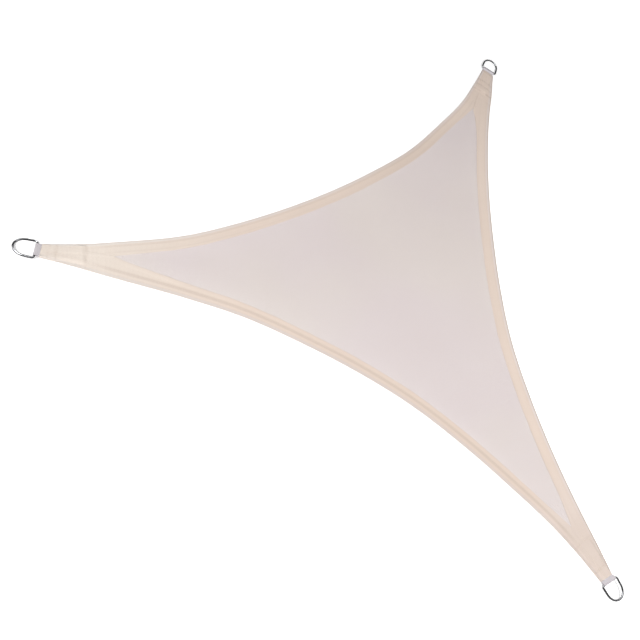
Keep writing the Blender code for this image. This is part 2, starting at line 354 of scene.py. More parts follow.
class Finish:
    # the nodes of a material, or of the holder given
    def __init__(self, name, holder=None):
        self.holder = holder or bpy.data.materials.new(name)
        self.holder.use_nodes = True
        self.tree = self.holder.node_tree
        self.tree.nodes.clear()

    def add(self, kind, settings, feeds, out=0):
        node = self.tree.nodes.new("ShaderNode" + kind)
        for name, value in settings.items():
            setattr(node, name, value)
        for name, value in feeds.items():
            if isinstance(value, Wire):
                self.tree.links.new(value.socket, node.inputs[name])
            else:
                node.inputs[name].default_value = value
        return None if out is None else Wire(self, node.outputs[out])

    def mix(self, factor, plain, other):
        return self.add("Mix", {"data_type": "RGBA"}, {0: factor, 6: plain, 7: other}, 2)

    def noise(self, where, scale, detail=2.0):
        return self.add("TexNoise", {}, {"Vector": where, "Scale": scale, "Detail": detail})

    def bump(self, height, depth):
        return self.add("Bump", {}, {"Height": height, "Strength": 1.0, "Distance": depth})

    def place(self):
        return self.add("TexCoord", {}, {}, "Object")

    def number(self, name):
        # what addNumbers stored on the mesh
        return self.add("Attribute", {"attribute_name": name}, {}, "Fac")

    def surface(self, feeds):
        shader = self.add("BsdfPrincipled", {}, feeds)
        self.add("OutputMaterial", {}, {"Surface": shader}, None)
        return self.holder


def srgb(red, green, blue):
    def linear(share):
        # the formula of the sRGB standard
        return share / 12.92 if share < 0.04 else ((share + 0.055) / 1.055) ** 2.4

    return (*(linear(c / 255) for c in (red, green, blue)), 1.0)


def addMesh(name, verts, faces, finish):
    mesh = bpy.data.meshes.new(name)
    mesh.from_pydata(verts, [], faces)
    mesh.validate()
    mesh.shade_smooth()
    mesh.materials.append(finish)
    obj = bpy.data.objects.new(name, mesh)
    bpy.context.scene.collection.objects.link(obj)
    return obj


def tubeFaces(first, rings, count, closed=False):
    # between rings of points, the first of which starts at this number
    faces = []
    for i in range(rings if closed else rings - 1):
        a, b = first + i * count, first + (i + 1) % rings * count
        for k in range(count):
            m = (k + 1) % count
            faces.append((a + k, a + m, b + m, b + k))
    if not closed:
        last = first + (rings - 1) * count
        faces.append(tuple(first + k for k in range(count)))
        faces.append(tuple(last + k for k in reversed(range(count))))
    return faces


def addNumbers(obj, numbers):
    # by name, one for each point, for the finish to read
    for name, values in numbers.items():
        layer = obj.data.attributes.new(name, "FLOAT", "POINT")
        layer.data.foreach_set("value", np.asarray(values, np.float32))


def tidyFaces(obj):
    bm = bmesh.new()
    bm.from_mesh(obj.data)
    bmesh.ops.recalc_face_normals(bm, faces=bm.faces)
    bm.to_mesh(obj.data)
    bm.free()


# The cloth: one thin sheet, its hems turned in over it

cloth = {
    "thick": 0.6 * mm,
    "baseLevel": 0.45 * mm,  # middle of the layer that lies on the floor
    "layer": 0.7 * mm,  # from one layer to the next
    "padLevel": 4.75 * mm,  # over the webbing in a neck
    "padEnd": (0.122, 0.142),  # in from the ring's bar
    "padTop": 22.3 * mm,  # half the pad's width over the webbing
    "padFoot": 24.8 * mm,  # and on the floor, or, where the neck is wide,
    "padWidens": (0.6, 9 * mm),  # this share of its half and this much more
    "padSoftens": 0.25,  # what is left of the hem's shape over it
    "climb": 7 * mm,  # over which an upper hem climbs onto the lower one
    "climbEnd": (-5 * mm, 12 * mm),  # from where the hems part
    "lip": (4.5 * mm, 3.0 * mm),  # place and reach of the rolled edge
    "pillow": (2 * mm, 13 * mm),  # its start and its top
    "curlTop": 3 * mm,  # in from the free fold
    "rowDip": 0.08 * mm,
    "rowsFade": 0.8,  # by how much the necks take away the painted shade of the rows' valleys
    "pucker": 0.15 * mm,
    "puckerIn": (3 * mm, 10 * mm),  # where it grows, in from the edge
    "puckerSlant": 0.3,
    "creaseIn": (1.5 * mm, 7 * mm),  # where the cross rows' creases grow, in from the edges
    # reach of the painted shade in a cross row's valley
    "creaseReach": 3.4 * mm,
    "tuck": 12 * mm,  # width of the raw edge turned under
    "tuckStep": (-5 * mm, 4 * mm),  # the top layer's step over it
    # how much of it a neck leaves, and where it grows, counted from the hems' parting
    "tuckOver": (0.2, -10 * mm, 60 * mm),
    "tuckUnder": (0.15, 10 * mm, 60 * mm),
    "leastTuck": 0.5,  # the share of a layer that it drops at least
    "edgeBulge": 0.8 * mm,  # how round the outer edge is
    "foldBulge": 0.9 * mm,
    "joinAt": 6 * mm,  # where the hem's section meets the field
    "underPlaces": 2,  # places of a section before it turns over
    "topPlaces": 14,
    "neckStep": 3 * mm,
    "neckSpare": 20 * mm,  # how far past the hems' parting neckStep goes
    "sideStep": 7.5 * mm,
    "fieldRows": 110,
    "fieldInset": 18 * mm,
    "fieldWidens": 150 * mm,  # its border moves to the middle from here into a neck
    "fieldLift": 0.35 * mm,
    "liftGrows": (4 * mm, 70 * mm),  # in from the hems
    "bandEdge": 2 * mm,  # half the width over which greyBand ends
    "rimFull": 0.35,  # share of rim's reach that gets the edge's full painted shade
    "darkest": 1.6,  # the most painted shade a point can get
}


def inNecks(side, spot, deep):
    # where the two necks lift a hem over their webbing, raise it over the other
    # hem and puff it up, how much painted shade their cross rows' valleys get, how
    # far it is in a neck, and its tuck
    c, spec = cloth, side.spec
    pad, raised, puff, valley, inNeck = (np.zeros_like(deep) for _ in range(5))
    tuck = np.full_like(deep, spec["tuck"])
    for corner, sign, over in zip(side.ends, (1, -1), spec["over"]):
        along = corner.alongOf(spot)
        own = sign * corner.acrossOf(spot)
        inNeck += 1 - ease(along, *neck["rowsDeepen"])
        widen, least = c["padWidens"]
        foot = np.maximum(c["padFoot"], widen * (own + deep) + least)
        underIt = 1 - ease(along, *c["padEnd"])
        pad = np.maximum(pad, underIt * ease(np.abs(own), foot, c["padTop"]))
        if over:
            low, high = c["climbEnd"]
            before = 1 - ease(along, corner.apex + low, corner.apex + high)
            raised += ease(own, c["climb"], 0) * before
        kept, low, high = c["tuckOver"] if over else c["tuckUnder"]
        tuck *= kept + (1 - kept) * ease(along, corner.apex + low, corner.apex + high)
        puffed, pulled = neckCreases(corner, along, own, deep)
        puff += puffed
        valley += pulled
    return pad, raised * c["layer"], puff, valley, inNeck, tuck


def flapLevel(side, share, deep):
    # height of the middle of the hem's top layer, deep in from the edge, how
    # much of the tuck there is under it, and how much painted shade its valleys get
    c, spec = cloth, side.spec
    run = side.at(share, side.run)
    width = side.at(share, side.width)
    spot = side.at(share, side.edge) + side.at(share, side.section) * deep[..., None]
    pad, raised, puff, valley, inNeck, tuck = inNecks(side, spot, deep)
    start = c["baseLevel"] + c["layer"]
    lipAt, lipReach = c["lip"]
    lip = spec["lip"] * mm * uneven("lip", run, "lip" + side.name)
    high = start + lip * bell(deep - lipAt, lipReach)
    pillowStart, pillowTop = c["pillow"]
    pillow = ease(deep, pillowStart, pillowTop)
    pillow = pillow * (1 - ease(deep, pillowTop, spec["rows"][1][0]))
    high = high + spec["pillow"] * mm * (pillow * uneven("pillow", run, "pillow" + side.name))
    rawEdge = width - c["tuck"]
    curl = spec["curl"] * mm * uneven("curl", run, "curl" + side.name)
    curl = curl * ease(deep, rawEdge, width - c["curlTop"])
    stepStart, stepEnd = c["tuckStep"]
    step = c["layer"] * ease(deep, rawEdge + stepStart, rawEdge + stepEnd)
    high = high + tuck * (step + curl)
    for row, dark, reach in spec["rows"]:
        pulled = bell(deep - row, reach * mm)
        high = high - c["rowDip"] * pulled
        # painted shade in the row's valley, less of it in a neck
        valley = valley + dark * (1 - c["rowsFade"] * inNeck) * pulled
    pucker = c["pucker"] * uneven("pucker", run + deep * c["puckerSlant"], "pucker" + side.name)
    high = high + pucker * ease(deep, *c["puckerIn"])
    high = high * (1 - pad) + (c["padLevel"] + c["padSoftens"] * (high - start)) * pad
    return high + raised + puff, tuck, valley


def toneOf(side, shares, spot):
    # how much painted shade the hem gets at these spots, below 0 how much painted light
    tone = np.interp(shares, toneAt, side.spec["tone"])[:, None] * np.ones(spot.shape[:2])
    for corner in side.ends:
        inNeck = 1 - ease(corner.alongOf(spot), *neck["toneEnd"])
        tone = tone * (1 - inNeck) + corner.spec["tone"] * inNeck
    return tone


def neckCreases(corner, along, own, deep):
    # the cross rows hold the neck down, and it puffs up between them; their
    # valleys get painted shade
    spec = corner.spec
    slant = along + spec["lean"] * own
    inside = ease(deep, *cloth["creaseIn"]) * ease(2 * own + deep, *cloth["creaseIn"])
    puff = np.zeros_like(along)
    pulled = np.zeros_like(along)
    rows = spec["crossRows"]
    for (near, height, _), (far, *_) in zip(rows, rows[1:]):
        middle, reach = (near + far) / 2, (far - near) / 2
        bulge = np.clip(1 - ((slant - middle) / reach) ** 2, 0, 1)
        puff += height * mm * bulge * uneven("puff", own + near, spec["bearing"])
    for row, _, dark in rows:
        faint = uneven("crease", own + row, spec["reach"])
        # painted shade along each row's valley
        pulled += dark * faint * bell(slant - row, cloth["creaseReach"])
    return puff * inside, pulled * inside


def stationsOf(side):
    # shares of the side at which the hem has a section, closer in the necks
    shares = []
    for which, corner in enumerate(side.ends):
        stop = corner.apex + cloth["neckSpare"]
        count = int((stop - neck["start"]) / cloth["neckStep"])
        along = np.linspace(neck["start"], stop, count)
        shares.append(side.shareAt(which, along))
    low, high = shares[0][-1], shares[1][-1]
    count = int((high - low) * side.run[-1] / cloth["sideStep"])
    between = np.linspace(low, high, count)
    return np.concatenate([shares[0][:-1], between, shares[1][::-1][1:]])


def hemSection(side, shares):
    # the sheet's way in a section: under, round the outer edge, back over
    # and round the turned-in raw edge
    c = cloth
    width = side.at(shares, side.width)[:, None]
    ones = np.ones_like(width)
    # places in from the outer edge, and outwards from the fold
    outer = np.array([1.4, 2.0, 3.0, 4.2, 5.6, 7.5, 10]) * mm
    inner = np.array([14.5, 12.5, 10.5, 8, 5.5, 3.5, 2.2, 1.2]) * mm
    between = np.linspace(0, 1, c["topPlaces"])[1:-1]
    top = np.hstack([
        outer * ones,
        outer[-1] + (width - inner[0] - outer[-1]) * between,
        width - inner,
    ])
    high, tuck, valley = flapLevel(side, shares[:, None] * np.ones_like(top), top)
    base = c["baseLevel"]
    turn = np.radians([-120, -150, -180, -210, -240])
    middle, half = (high[:, :1] + base) / 2, (high[:, :1] - base) / 2
    roundOut = outer[0] + c["edgeBulge"] * np.cos(turn), middle + half * np.sin(turn)
    drop = c["layer"] * np.maximum(tuck[:, -1:], c["leastTuck"])
    turn = np.radians([60, 20, -20, -60])
    roundIn = (
        width - inner[-1] + c["foldBulge"] * np.cos(turn),
        high[:, -1:] - drop / 2 + drop / 2 * np.sin(turn),
    )
    back = [-1, -4, -6]  # the tuck lies under these places of the top
    deep = np.hstack([
        c["joinAt"] * ones, outer[0] * ones, roundOut[0] * ones,
        top, roundIn[0] * ones, top[:, back],
    ])
    level = np.hstack([
        base * ones, base * ones, roundOut[1], high, roundIn[1], high[:, back] - drop,
    ])
    # the painted shade of the valleys, at the top's places
    pulled = np.zeros_like(deep)
    first = c["underPlaces"] + len(roundOut[0])
    pulled[:, first:first + top.shape[1]] = valley
    return deep, level, pulled


def fieldGrid(rows):
    # base layer as a triangle of points between three curves just inside the
    # outer edges, each curve running from neck to neck
    curves = []
    for side in edges.values():
        tips = [side.shareAt(k, neck["fieldTip"]) for k in (0, 1)]
        share = tips[0] + (tips[1] - tips[0]) * np.linspace(0, 1, rows + 1)
        edge = side.at(share, side.edge)
        inset = np.full(rows + 1, cloth["fieldInset"])
        for corner in side.ends:
            near = ease(corner.alongOf(edge), cloth["fieldWidens"], neck["fieldTip"])
            inset = inset * (1 - near) + np.abs(corner.acrossOf(edge)) * near
        line = edge + side.at(share, side.section) * inset[:, None]
        line[0] = side.ends[0].point(neck["fieldTip"])
        line[-1] = side.ends[1].point(neck["fieldTip"])
        curves.append(line)
    tips = [line[0] for line in curves]

    def bend(k, t):
        # how far a curve leaves the straight line between its tips
        at = t * rows
        straight = np.multiply.outer(1 - t, tips[k])
        straight = straight + np.multiply.outer(t, tips[(k + 1) % 3])
        curved = [np.interp(at, range(rows + 1), curves[k][:, i]) for i in (0, 1)]
        return np.stack(curved, axis=-1) - straight

    number, spots = {}, []
    for i in range(rows + 1):
        for j in range(rows + 1 - i):
            number[i, j] = len(spots)
            spots.append((rows - i - j, i, j))
    w = np.array(spots) / rows  # how much of each tip a point has
    flat = w @ np.array(tips)
    for k in range(3):
        a, b, c = w[:, k], w[:, (k + 1) % 3], w[:, (k + 2) % 3]
        both = np.maximum(a + b, 1e-9)
        flat += (1 - c)[:, None] * bend(k, b / both) * (both > 1e-6)[:, None]
    faces = []
    for i in range(rows):
        for j in range(rows - i):
            faces.append((number[i, j], number[i + 1, j], number[i, j + 1]))
            if j < rows - i - 1:
                faces.append((number[i + 1, j], number[i + 1, j + 1], number[i, j + 1]))
    borders = [
        [number[k, 0] for k in range(rows + 1)],
        [number[rows - k, k] for k in range(rows + 1)],
        [number[0, rows - k] for k in range(rows + 1)],
    ]
    return flat, faces, borders


def fieldLift(spots):
    # faint fullness of the field, none near the hems
    nearest = np.full(len(spots), np.inf)
    for side in edges.values():
        for k in range(0, side.steps + 1, 8):  # every eighth point will do
            gap = np.linalg.norm(spots - side.edge[k], axis=1) - side.width[k]
            nearest = np.minimum(nearest, gap)
    x, y = spots[:, 0], spots[:, 1]
    waves = ripple(x + 0.4 * y, "fieldX", 0.55) + ripple(y - 0.3 * x, "fieldY", 0.62)
    return cloth["fieldLift"] * (1.5 + waves) * ease(nearest, *cloth["liftGrows"])


def settle(obj):
    # from the flat plan to how it lies: each neck's end turns, rolls and drifts
    # with its ring
    spots = np.empty(len(obj.data.vertices) * 3)
    obj.data.vertices.foreach_get("co", spots)
    spots = spots.reshape(-1, 3)
    flat = spots[:, :2].copy()
    for corner in places.values():
        along, own = corner.alongOf(flat), corner.acrossOf(flat)
        held = 1 - ease(along, *neck["held"])
        turned = 1 - ease(along, *neck["turned"])
        skew = math.tan(math.radians(corner.spec["ringTurn"]))
        spots[:, :2] += np.outer(held * corner.spec["drift"], corner.across)
        spots[:, :2] += np.outer(turned * own * skew, corner.inward)
        rise = corner.lift + own * math.tan(math.radians(corner.spec["roll"]))
        spots[:, 2] += held * np.maximum(rise, 0)
    obj.data.vertices.foreach_set("co", spots.ravel())
    obj.data.update()


def sew(verts, outer, inner):
    # triangles between two rows of points, by the shorter diagonal
    faces, i, j = [], 0, 0
    while i < len(outer) - 1 or j < len(inner) - 1:
        stepOuter = stepInner = math.inf
        if i < len(outer) - 1:
            stepOuter = math.dist(verts[outer[i + 1]], verts[inner[j]])
        if j < len(inner) - 1:
            stepInner = math.dist(verts[outer[i]], verts[inner[j + 1]])
        if stepOuter < stepInner:
            faces.append((outer[i], outer[i + 1], inner[j]))
            i += 1
        else:
            faces.append((outer[i], inner[j + 1], inner[j]))
            j += 1
    return faces


def hemNumbers(side, shares, deep, spot, pulled):
    # what the knit's colours go by, at each point of a hem's sections
    folded = np.arange(deep.shape[1]) >= cloth["underPlaces"]
    middle, half = side.spec["greyBand"], cloth["bandEdge"]
    band = ease(deep, middle + half, middle - half)
    for corner in side.ends:
        near = 1 - ease(corner.alongOf(spot), *neck["blushEnd"])
        band = np.maximum(band, near * corner.spec["blush"])
    # painted shade along the rolled edge, darkest at the edge
    dark, reach = side.spec["rim"]
    rim = dark * ease(deep, reach * mm, cloth["rimFull"] * reach * mm) * folded
    # painted shade above 0 and painted light below, along the hem and in the necks
    tone = toneOf(side, shares, spot)
    return {
        "stack": folded * np.ones_like(deep),
        "greyBand": band * folded,
        "valley": np.clip(pulled + rim + np.maximum(tone, 0), 0, cloth["darkest"]),
        "faded": np.maximum(-tone, 0),
    }


def buildCloth(finish):
    base = cloth["baseLevel"]
    flat, faces, borders = fieldGrid(cloth["fieldRows"])
    lift = fieldLift(flat)
    verts = [(x, y, base + up) for (x, y), up in zip(flat, lift)]
    mouths = {}
    for name, corner in places.items():  # middle of each neck's end
        mouths[name] = len(verts)
        verts.append((*corner.point(neck["start"]), base))
    numbers = {name: [0.0] * len(verts) for name in ("stack", "greyBand", "valley", "faded")}
    for side, border in zip(edges.values(), borders):
        shares = stationsOf(side)
        deep, level, pulled = hemSection(side, shares)
        spot = side.at(shares, side.edge)[:, None]
        spot = spot + side.at(shares, side.section)[:, None] * deep[..., None]
        count = deep.shape[1]
        first = len(verts)
        verts += [(*xy, z) for xy, z in zip(spot.reshape(-1, 2), level.ravel())]
        for name, values in hemNumbers(side, shares, deep, spot, pulled).items():
            numbers[name] += list(values.ravel())
        for i in range(len(shares) - 1):
            for j in range(count - 1):
                a = first + i * count + j
                faces.append((a, a + count, a + count + 1, a + 1))
        outer = [mouths[side.spec["ends"][0]]]
        outer += [first + i * count for i in range(len(shares))]
        outer += [mouths[side.spec["ends"][1]]]
        faces += sew(verts, outer, border)
    obj = addMesh("sail_knit", verts, faces, finish)
    addNumbers(obj, numbers)
    tidyFaces(obj)
    thicken = obj.modifiers.new("thickness", "SOLIDIFY")
    thicken.thickness = cloth["thick"]
    thicken.offset = 0
    return obj


knit = {
    "wale": 3.6 * mm,  # from one chain of loops to the next
    "course": 2.6 * mm,
    "depth": 0.35 * mm,
    "stray": 0.35,  # how far the chains wander, in wales
    "tape": 0.85,  # how high the tape lies against the chains
    "hole": (0.18, 0.34),  # heights of yarn between which the mesh opens
    "roseEdge": (0.38, 0.62),
    "lipShare": 0.8,
    "roughness": 0.52,
    # how much of its shade each takes: loops is the painted shade between the
    # yarn's loops, clouds and streaks are the cloth's own uneven tone, and
    # paintedShadeWeight is the painted shade of the valleys, the rolled edge and
    # the hem's tone
    "loops": 0.35, "clouds": 0.12, "streaks": 0.10, "paintedShadeWeight": 0.5,
    # sizes of its patches, as a noise's scale
    "strayScale": 9.0, "cloudScale": 3.0, "streakScale": 2.0, "roseScale": 1.6,
    "streakStretch": (1.0, 60.0, 1.0),
    "field": srgb(227, 217, 213),
    "fieldRose": srgb(226, 215, 215),
    "hem": srgb(232, 215, 202),
    "lip": srgb(229, 220, 217),
    # the colour of painted light
    "faded": srgb(239, 235, 225),
    # the colour painted shade and the cloth's darker patches mix towards
    "shade": srgb(188, 168, 154),
}


def knitFinish():
    f = Finish("knitted_shade_cloth")
    place = f.place()
    x = f.add("SeparateXYZ", {}, {0: place}, 0)
    y = f.add("SeparateXYZ", {}, {0: place}, 1)
    stack = f.number("stack")
    grey = f.number("greyBand")
    valley = f.number("valley")
    faded = f.number("faded")
    wander = f.noise(place, knit["strayScale"]) * knit["stray"]
    u = x / knit["wale"] + wander
    v = y / knit["course"] + wander
    chain = u.wave()
    tape = (v + u.zigzag() * 0.5).wave()
    yarn = (chain * chain).most(tape * knit["tape"])
    gap = (1 - yarn.ease(*knit["hole"])) * (1 - stack)
    cloudy = f.noise(place, knit["cloudScale"], 4.0)
    stretched = f.add("Mapping", {}, {"Vector": place, "Scale": knit["streakStretch"]})
    streak = f.noise(stretched, knit["streakScale"], 3.0)
    rose = f.noise(place, knit["roseScale"]).ease(*knit["roseEdge"])
    tone = f.mix(stack, f.mix(rose, knit["field"], knit["fieldRose"]), knit["hem"])
    tone = f.mix(grey * knit["lipShare"], tone, knit["lip"])
    # painted light, where the tone is below 0
    tone = f.mix(faded, tone, knit["faded"])
    # painted shade between the yarn's loops and from valley, with the cloth's own clouds and
    # streaks
    shade = (1 - yarn) * knit["loops"] + (cloudy - 0.5) * knit["clouds"]
    shade = shade + (streak - 0.5) * knit["streaks"] + valley * knit["paintedShadeWeight"]
    tone = f.mix(shade, tone, knit["shade"])
    return f.surface({
        "Base Color": tone,
        "Roughness": knit["roughness"] + cloudy * 0.16,
        "Specular IOR Level": 0.35,
        "Sheen Weight": 0.12,
        "Sheen Roughness": 0.45,
        "Alpha": 1 - gap,
        "Normal": f.bump(yarn, knit["depth"]),
    })


# Stitching: a lockstitch in thread, on the top and on the underside

thread = {
    "radius": 0.36 * mm,
    "pitch": 6.0 * mm,
    "gap": 1.1 * mm,
    "sunk": 0.35,  # how deep its middle lies in the cloth's top, in radii
    "above": 0.9,  # and how far above its underside
    "crossHalf": (21 * mm, 24 * mm),  # half a cross row's length, and from
    "crossLonger": 100 * mm,  # this far in
    "twistScale": 900.0,
    "twistDepth": 0.05 * mm,
    "colour": srgb(236, 222, 208),
    "sides": 5,
    # (place along the stitch, height and size in radii): it dives in at both ends
    "bow": ((0, -0.9, 0.7), (0.18, 0.15, 1), (0.5, 0.3, 1), (0.82, 0.15, 1), (1, -0.9, 0.7)),
}


def threadFinish():
    f = Finish("sewing_thread")
    place = f.place()
    feeds = {"Vector": place, "Scale": thread["twistScale"]}
    twist = f.add("TexWave", {"bands_direction": "DIAGONAL"}, feeds)
    return f.surface({
        "Base Color": f.mix(twist * 0.25, thread["colour"], knit["shade"]),
        "Roughness": 0.45 + twist * 0.15,
        "Normal": f.bump(twist, thread["twistDepth"]),
    })


class Threads:
    # gathers stitches, each a short bowed length of thread
    def __init__(self):
        self.verts, self.faces = [], []

    def stitch(self, start, end, up):
        count, radius = thread["sides"], thread["radius"]
        along = np.array(end) - start
        side = np.array([-along[1], along[0], 0]) / math.hypot(along[0], along[1])
        first = len(self.verts)
        for share, lift, size in thread["bow"]:
            heart = start + along * share + np.array([0, 0, up * lift * radius])
            for k in range(count):
                turn = 2 * math.pi * k / count
                out = side * math.cos(turn) + np.array([0, 0, math.sin(turn)])
                self.verts.append(tuple(heart + out * radius * size))
        self.faces += tubeFaces(first, len(thread["bow"]), count)


def rowsToSew():
    # every row as points a stitch apart, with the height that it must lie at
    for side in edges.values():
        for row, *_ in side.spec["rows"]:
            shares = [side.shareAt(which, neck["rowsStart"]) for which in (0, 1)]
            runs = side.at(np.array(shares), side.run)
            run = np.arange(runs[0], runs[1], thread["pitch"])
            share = np.interp(run, side.run, side.share)
            deep = row + uneven("stitching", run, side.name + str(row))
            spots = side.at(share, side.edge)
            spots = spots + side.at(share, side.section) * deep[:, None]
            level = flapLevel(side, share, deep)[0]
            yield spots, level
    for corner in places.values():
        for row, *_ in corner.spec["crossRows"]:
            half = thread["crossHalf"][row > thread["crossLonger"]]
            own = np.arange(-half, half, thread["pitch"])
            yield corner.point(row - corner.spec["lean"] * own, own), None


def buildThreads(sail, finish):
    cast = BVHTree.FromObject(sail, bpy.context.evaluated_depsgraph_get())
    top, under = Threads(), Threads()
    sink = np.array([0, 0, thread["radius"] * thread["sunk"]])
    low = cloth["baseLevel"] - cloth["thick"] / 2 + thread["above"] * thread["radius"]
    for spots, level in rowsToSew():
        for k in range(len(spots) - 1):
            ends = []
            for share in (thread["gap"] / thread["pitch"], 1):
                spot = spots[k] + (spots[k + 1] - spots[k]) * share
                ends.append(cast.ray_cast(Vector((*spot, 50 * mm)), Vector((0, 0, -1)))[0])
            if None in ends:
                continue
            # a row that goes on below another hem doesn't show on it
            hidden = level is not None and ends[0].z > level[k] + cloth["thick"]
            if not hidden:
                top.stitch(np.array(ends[0]) - sink, np.array(ends[1]) - sink, 1)
            start, end = (np.array([spot.x, spot.y, low]) for spot in ends)
            under.stitch(start, end, -1)
    return [
        addMesh("stitches_top", top.verts, top.faces, finish),
        addMesh("stitches_under", under.verts, under.faces, finish),
    ]


# Webbing straps, folded round the bars of the rings

webbing = {
    "half": 22 * mm,
    "thick": 1.3 * mm,
    "tailEnd": 124 * mm,
    "mouth": 12.5 * mm,  # where its tails part to go round the bar
    "lower": 1.95 * mm,  # heights of the two tails
    "upper": 3.65 * mm,
    "wrap": 3.75 * mm,  # radius of its fold
    "barHeight": 4.6 * mm,
    "loopEase": 6 * mm,  # from the mouth, over which it takes its loop's width
    "crestReach": 3.5 * mm,  # the bend's painted shade reaches up to here, in from the bar
    "flatShare": 0.94,  # how thick it is against its selvedge
    "tailSteps": 14,
    "wrapSteps": 40,
    "rib": 1.7 * mm,
    "pick": 1.3 * mm,
    "relief": 0.3 * mm,
    "fuzzScale": 900.0,
    "colour": srgb(217, 211, 214),
    "shade": srgb(168, 161, 167),
    # painted shade where the webbing bends round the bar
    "crestShade": srgb(96, 92, 98),
}


def webbingPath():
    # (inwards from the bar, height) of the middle of the webbing
    w = webbing

    def touch(level, way):
        # the turn at which a tail leaves the wrap round the bar
        rise, run = level - w["barHeight"], w["mouth"]
        return math.atan2(rise, run) + way * math.acos(w["wrap"] / math.hypot(run, rise))

    def between(start, end):
        start, end = np.array(start), np.array(end)
        return [start + (end - start) * t for t in (0.33, 0.66)]

    low, high = touch(w["lower"], -1), touch(w["upper"], 1) - 2 * math.pi
    bend = []
    for k in range(w["wrapSteps"] + 1):
        turn = low + (high - low) * k / w["wrapSteps"]
        bend.append((w["wrap"] * math.cos(turn), w["barHeight"] + w["wrap"] * math.sin(turn)))
    tail = np.linspace(w["tailEnd"], w["mouth"], w["tailSteps"])
    under = [(x, w["lower"]) for x in tail]
    over = [(x, w["upper"]) for x in tail[::-1]]
    path = under + between(under[-1], bend[0]) + bend + between(bend[-1], over[0]) + over
    return np.array(path)


def buildStrap(name, corner, finish):
    w = webbing
    path = webbingPath()
    slope = np.gradient(path, axis=0)
    slope /= np.linalg.norm(slope, axis=1)[:, None]
    normal = np.stack([-slope[:, 1], slope[:, 0]], axis=1)
    run = np.concatenate([[0], np.cumsum(np.linalg.norm(np.diff(path, axis=0), axis=1))])
    # a section: flat faces and rounded, slightly thicker selvedges
    half = w["half"]
    r = w["thick"] / 2
    turn = np.radians([90, 55, 20, -20, -55, -90])
    right = [(half - r + r * math.cos(t), r * math.sin(t)) for t in turn]
    left = [(-x, -y) for x, y in right]
    flats = np.linspace(-1, 1, 11)[1:-1] * (half - r)
    upper = [(x, r * w["flatShare"]) for x in flats]
    lower = [(-x, -y) for x, y in upper]
    section = left[3:] + upper + right + lower + left[:3]
    verts, numbers = [], {"across": [], "along": [], "crest": []}
    for (along, high), (nx, nz), reached in zip(path, normal, run):
        loop = float(ease(along, w["mouth"], w["mouth"] - w["loopEase"]))
        spread = 1 + (corner.spec["loopHalf"] / half - 1) * loop
        # painted shade on the bend round the bar
        crest = corner.spec["crest"] * float(ease(along, w["crestReach"], 0))
        for across, off in section:
            x, z = along + nx * off, high + nz * off
            verts.append((*corner.point(x, across * spread), z))
            for values, value in zip(numbers.values(), (across, reached, crest)):
                values.append(value)
    obj = addMesh("webbing_" + name, verts, tubeFaces(0, len(path), len(section)), finish)
    addNumbers(obj, numbers)
    tidyFaces(obj)
    return obj


def webbingFinish():
    f = Finish("polyester_webbing")
    across = f.number("across")
    along = f.number("along")
    place = f.place()
    rib = across / webbing["rib"]
    ribs = rib.wave()
    picks = (along / webbing["pick"] + rib.zigzag() * 0.5).wave()
    high = ribs * 0.7 + picks * 0.3
    fuzz = f.noise(place, webbing["fuzzScale"])
    # painted shade in the weave's hollows, with fuzz of its own uneven tone
    shade = (1 - high) * 0.55 + (fuzz - 0.5) * 0.3
    # painted shade where the webbing bends
    crestShade = f.number("crest")
    tone = f.mix(shade, webbing["colour"], webbing["shade"])
    return f.surface({
        "Base Color": f.mix(crestShade, tone, webbing["crestShade"]),
        "Roughness": 0.62 + fuzz * 0.15,
        "Sheen Weight": 0.2,
        "Normal": f.bump(high + fuzz * 0.15, webbing["relief"]),
    })


# D-rings: a straight bar, short corners and a round bow, welded on the bar

ring = {
    "wire": 2.8 * mm,
    "barHalf": 30.5 * mm,
    "bowHalf": 29.5 * mm,
    "bowStart": 26 * mm,  # how far out its legs end
    "depth": 61 * mm,
    "corner": 7.2 * mm,  # radius
    "sides": 28,
    "steps": (14, 14, 8, 61),  # of half the bar, a corner, a leg and the bow
    "weld": 0.22 * mm,
    "weldReach": 2 * mm,
    "clearance": 0.05 * mm,  # between the lowest point and the floor
    "colour": srgb(205, 206, 210),
    "smeared": srgb(170, 170, 174),
    "roughness": 0.07,
    "smearScale": 70.0,
    "scratchScale": 600.0,
    "scratchStretch": (1.0, 9.0, 1.0),
    "scratchDepth": 0.01 * mm,
}


def ringPath():
    # (outwards from the bar, along it) of the middle of the wire
    r = ring["corner"]
    barSteps, cornerSteps, legSteps, bowSteps = ring["steps"]
    bar = [(0, y) for y in np.linspace(0, ring["barHalf"] - r, barSteps)[:-1]]
    bend = [
        (r - r * math.cos(t), ring["barHalf"] - r + r * math.sin(t))
        for t in np.linspace(0, math.pi / 2, cornerSteps)
    ]
    start, half = ring["bowStart"], ring["bowHalf"]
    leg = [
        (r + (start - r) * t, ring["barHalf"] + (half - ring["barHalf"]) * t)
        for t in np.linspace(0, 1, legSteps)[1:-1]
    ]
    bow = [
        (start + (ring["depth"] - start) * math.cos(t), half * math.sin(t))
        for t in np.linspace(math.pi / 2, -math.pi / 2, bowSteps)
    ]
    upper = bar + bend + leg
    return np.array(upper + bow + [(x, -y) for x, y in upper[:0:-1]])


